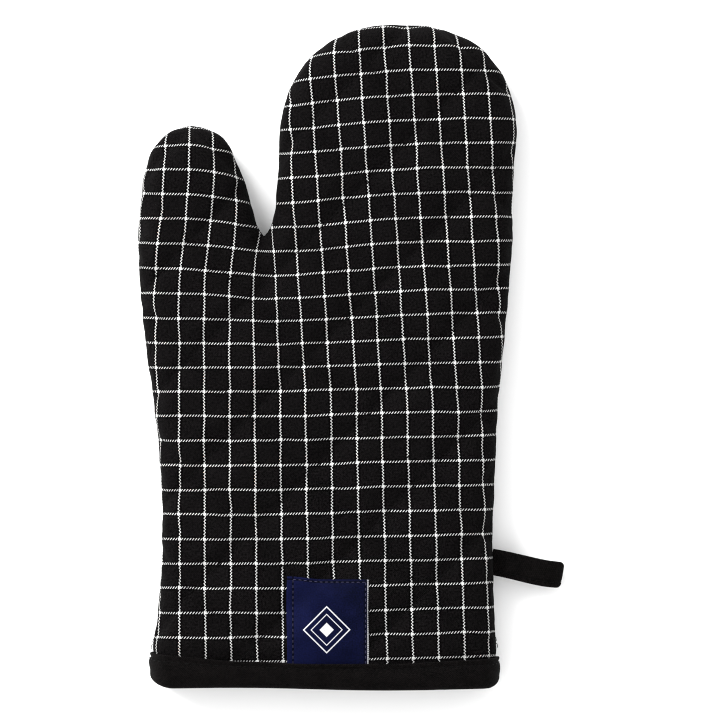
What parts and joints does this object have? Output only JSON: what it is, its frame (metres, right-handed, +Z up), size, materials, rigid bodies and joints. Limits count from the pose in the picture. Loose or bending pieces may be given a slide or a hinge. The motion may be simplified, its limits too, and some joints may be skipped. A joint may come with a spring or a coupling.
{
  "type": "oven mitt",
  "caption": "Quilted oven mitt lying on its back, checked cotton over wadding and lining, with a bound cuff, a woven label and a hanging loop.",
  "frame": {"origin": "on the surface the mitt lies on, under the middle of its bounding box", "axes": "+Y from the cuff to the fingertips, +Z up out of the labelled front, +X away from the thumb"},
  "size_m": [0.2034, 0.3191, 0.0318],
  "materials": {
    "checked_twill": "matte cotton twill, near black with a white windowpane check",
    "wadding": "soft felted wadding",
    "lining_cotton": "matte plain-weave cotton",
    "black_twill_tape": "matte black twill",
    "navy_woven_label": "fine woven, slightly satin",
    "black_thread": "spun polyester thread",
    "white_thread": "spun polyester thread"
  },
  "bodies": {
    "mitt": {"outer_front_panel": "checked_twill", "outer_back_panel": "checked_twill", "wadding_front": "wadding", "wadding_back": "wadding", "lining_front": "lining_cotton", "lining_back": "lining_cotton", "quilting_thread_front": "black_thread", "quilting_thread_back": "black_thread", "seam_stitch": "white_thread", "cuff_binding": "black_twill_tape", "binding_stitch_outer": "black_thread", "binding_stitch_inner": "black_thread", "maker_label": "navy_woven_label", "label_stitch": "black_thread"},
    "loop": {"hanging_loop": "black_twill_tape", "loop_stitch": "black_thread"}
  },
  "joints": [
    {"name": "loop_bend", "type": "hinge", "parent": "mitt", "child": "loop", "pos_m": [0.0707, -0.0981, 0.011], "axis": [0, -1, 0], "range_deg": [-75, 80], "stiffness_Nm_per_rad": 0.001}
  ]
}
